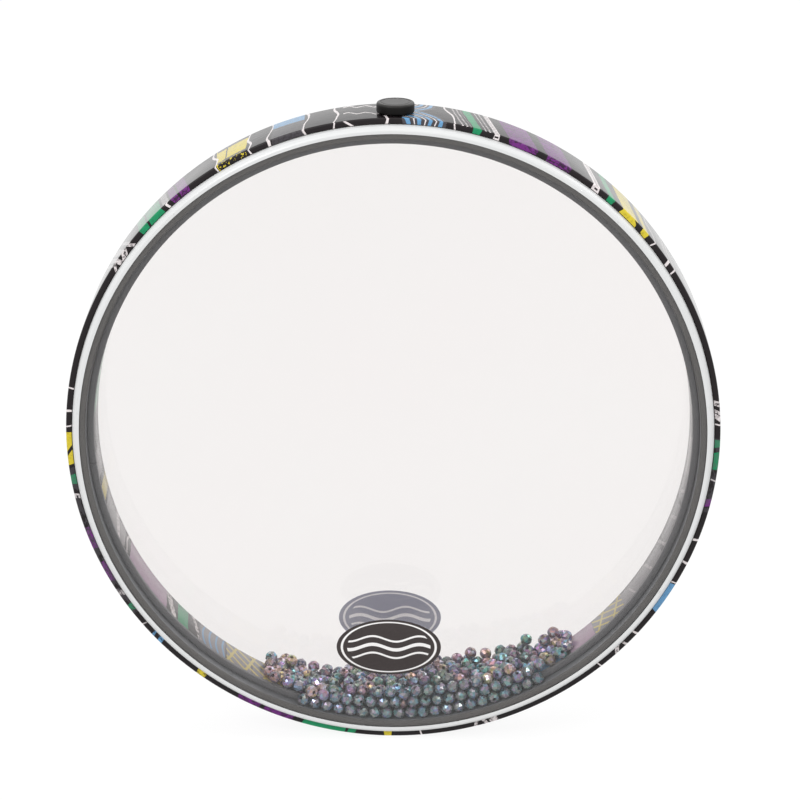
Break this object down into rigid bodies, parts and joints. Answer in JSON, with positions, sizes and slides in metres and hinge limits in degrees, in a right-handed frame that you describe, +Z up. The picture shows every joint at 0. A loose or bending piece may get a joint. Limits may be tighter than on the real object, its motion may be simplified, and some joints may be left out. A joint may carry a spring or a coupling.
{
  "type": "frame drum",
  "caption": "Round frame drum with two clear heads, a printed shell, raised white head rings, a fill plug and loose faceted beads inside that roll round the rim.",
  "frame": {"origin": "lowest point of the rim, midway between the two heads: the centre of the bottom of the bounding box", "axes": "+Z up, with the fill plug near the top, +Y along the drum's axis from the front head to the rear head, +X to the right seen from the front"},
  "size_m": [0.4, 0.0488, 0.4064],
  "materials": {
    "shell_fibre": "bent fibre hoop, matte",
    "printed_film": "glossy printed film, black with coloured bands",
    "printed_lining": "printed film, grey with coloured bands",
    "white_plastic": "smooth satin white",
    "black_plastic": "smooth black",
    "grey_foam": "soft dark foam strip",
    "clear_film": "clear polyester film",
    "badge_print": "thin dark printed patch, plain wave lines, no lettering",
    "plug_rubber": "satin black rubber",
    "bead_glass": "faceted, iridescent grey",
    "bead_heap": "stands in for the loose beads behind the front layer"
  },
  "bodies": {
    "shell": {"shell_hoop": "shell_fibre", "outer_print_wrap": "printed_film", "inner_print_lining": "printed_lining", "front_white_ring": "white_plastic", "rear_white_ring": "white_plastic", "front_black_ring": "black_plastic", "rear_black_ring": "black_plastic", "front_foam_gasket": "grey_foam", "rear_foam_gasket": "grey_foam", "front_head": "clear_film", "rear_head": "clear_film", "front_label": "badge_print", "rear_label": "badge_print"},
    "fill_plug": {"fill_plug": "plug_rubber"},
    "bead_pile": {"bead_01": "bead_glass", "bead_02": "bead_glass", "bead_03": "bead_glass", "bead_04": "bead_glass", "bead_05": "bead_glass", "bead_06": "bead_glass", "bead_07": "bead_glass", "bead_08": "bead_glass", "bead_09": "bead_glass", "bead_10": "bead_glass", "bead_11": "bead_glass", "bead_12": "bead_glass", "bead_13": "bead_glass", "bead_14": "bead_glass", "bead_15": "bead_glass", "bead_16": "bead_glass", "bead_17": "bead_glass", "bead_18": "bead_glass", "bead_19": "bead_glass", "bead_20": "bead_glass", "bead_21": "bead_glass", "bead_22": "bead_glass", "bead_23": "bead_glass", "bead_24": "bead_glass", "bead_25": "bead_glass", "bead_26": "bead_glass", "bead_27": "bead_glass", "bead_28": "bead_glass", "bead_29": "bead_glass", "bead_30": "bead_glass", "bead_31": "bead_glass", "bead_32": "bead_glass", "bead_33": "bead_glass", "bead_34": "bead_glass", "bead_35": "bead_glass", "bead_36": "bead_glass", "bead_37": "bead_glass", "bead_38": "bead_glass", "bead_39": "bead_glass", "bead_40": "bead_glass", "bead_41": "bead_glass", "bead_42": "bead_glass", "bead_43": "bead_glass", "bead_bed": "bead_heap"},
    "loose_bead_left": {"loose_bead_left": "bead_glass"},
    "loose_bead_right": {"loose_bead_right": "bead_glass"}
  },
  "joints": [
    {"name": "plug_pull", "type": "slide", "parent": "shell", "child": "fill_plug", "axis": [0, 0, 1], "range_m": [0, 0.03]},
    {"name": "heap_roll", "type": "hinge", "parent": "shell", "child": "bead_pile", "pos_m": [0, 0, 0.2], "axis": [0, 1, 0], "continuous": true},
    {"name": "left_bead_roll", "type": "hinge", "parent": "bead_pile", "child": "loose_bead_left", "pos_m": [0, 0, 0.2], "axis": [0, 1, 0], "range_deg": [0, 309]},
    {"name": "right_bead_roll", "type": "hinge", "parent": "bead_pile", "child": "loose_bead_right", "pos_m": [0, 0, 0.2], "axis": [0, 1, 0], "range_deg": [-309, 0]}
  ]
}
